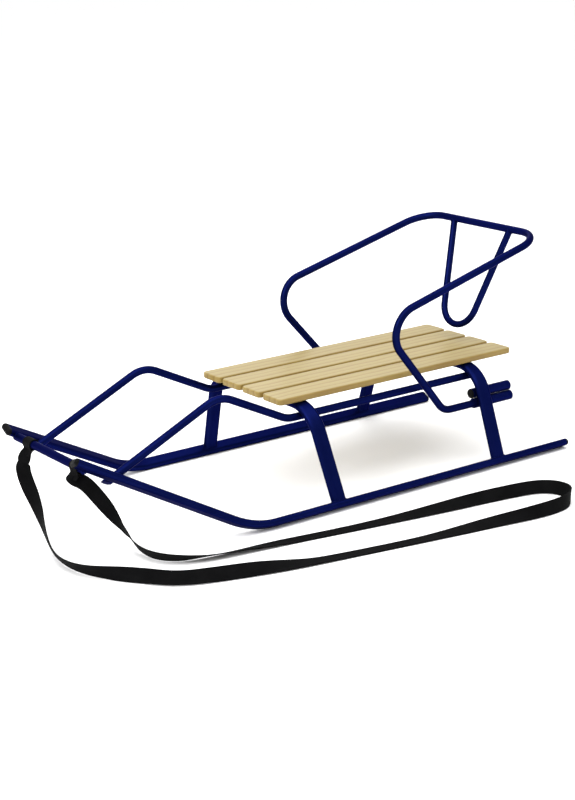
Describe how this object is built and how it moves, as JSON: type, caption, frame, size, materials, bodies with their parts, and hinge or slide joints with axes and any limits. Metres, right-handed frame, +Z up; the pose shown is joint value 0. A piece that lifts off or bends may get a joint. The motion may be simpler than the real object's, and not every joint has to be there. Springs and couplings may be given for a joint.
{
  "type": "snow sled",
  "caption": "Child's snow sled: bent steel tube frame on two upturned runners, slatted wooden seat, plug-in backrest hoop and webbing pull strap.",
  "frame": {"origin": "on the ground under the middle of the frame's length and width", "axes": "+X forward to the upturned nose, +Y to the sled's left, +Z up"},
  "size_m": [1.1357, 0.7247, 0.447],
  "materials": {
    "blue_paint": "gloss",
    "pine": "satin",
    "black_plastic": "matt",
    "webbing": "woven"
  },
  "bodies": {
    "frame": {"runner_left": "blue_paint", "runner_right": "blue_paint", "rear_cap_left": "black_plastic", "rear_cap_right": "black_plastic", "nose_cap_left": "black_plastic", "nose_cap_right": "black_plastic", "nose_crossbar": "blue_paint", "front_leg_arch": "blue_paint", "rear_leg_arch": "blue_paint", "seat_slat_1": "pine", "seat_slat_2": "pine", "seat_slat_3": "pine", "seat_slat_4": "pine", "rail_left": "blue_paint", "rail_right": "blue_paint", "handle_sleeve_left": "blue_paint", "handle_sleeve_right": "blue_paint", "backrest_sleeve_left": "blue_paint", "backrest_sleeve_right": "blue_paint", "strap_loop_left": "webbing", "strap_loop_right": "webbing", "pull_strap": "webbing"},
    "backrest": {"backrest_hoop": "blue_paint", "backrest_loop": "blue_paint"}
  },
  "joints": [
    {"name": "backrest_slide", "type": "slide", "parent": "frame", "child": "backrest", "axis": [1, 0, 0], "range_m": [0, 0.095]}
  ]
}
